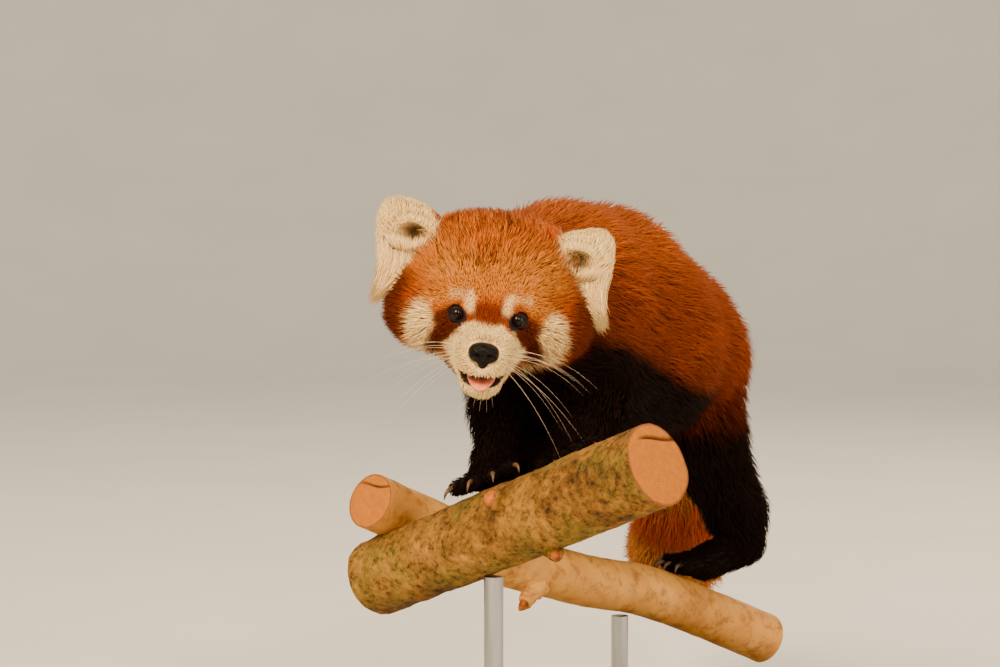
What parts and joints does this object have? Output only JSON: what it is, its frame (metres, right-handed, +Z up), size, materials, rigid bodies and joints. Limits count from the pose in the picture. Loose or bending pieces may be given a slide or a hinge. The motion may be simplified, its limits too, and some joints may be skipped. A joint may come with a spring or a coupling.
{
  "type": "red panda",
  "caption": "Red panda stepping across two branches, head turned to the viewer, mouth open, tongue out; still display model on a plain stand.",
  "frame": {"origin": "middle of the underside of the stand base", "axes": "+Z up, -Y the way the head looks, +X to the viewer's right, which is the side of the hindquarters"},
  "size_m": [0.37, 0.8261, 0.4917],
  "materials": {
    "bark": "mottled rough bark, bare cut end",
    "coat_black": "black fur with dark horn claws",
    "coat_cream": "pale fur",
    "coat_ginger": "short grizzled fur",
    "coat_rust": "long soft guard hairs over a dense undercoat",
    "eye": "glossy dark brown",
    "nose_leather": "damp black",
    "smooth_wood": "smooth tan bark",
    "stand_board": "matt black",
    "stand_rod": "satin",
    "tongue": "moist pink"
  },
  "bodies": {
    "root": {"branch_front": "bark", "branch_rear": "smooth_wood", "ear_left": "coat_cream", "ear_right": "coat_cream", "eye_left": "eye", "eye_right": "eye", "foreleg_left": "coat_black", "foreleg_right": "coat_black", "forepaw_left": "coat_black", "forepaw_right": "coat_black", "head": "coat_ginger", "hindleg_left": "coat_black", "hindleg_right": "coat_black", "hindpaw_left": "coat_black", "hindpaw_right": "coat_black", "lower_jaw": "coat_cream", "neck": "coat_rust", "nose": "nose_leather", "stand_base": "stand_board", "stand_rod_front": "stand_rod", "stand_rod_rear": "stand_rod", "tail_1": "coat_rust", "tail_2": "coat_rust", "tail_3": "coat_rust", "tail_4": "coat_rust", "tongue": "tongue", "torso": "coat_rust"}
  },
  "joints": []
}
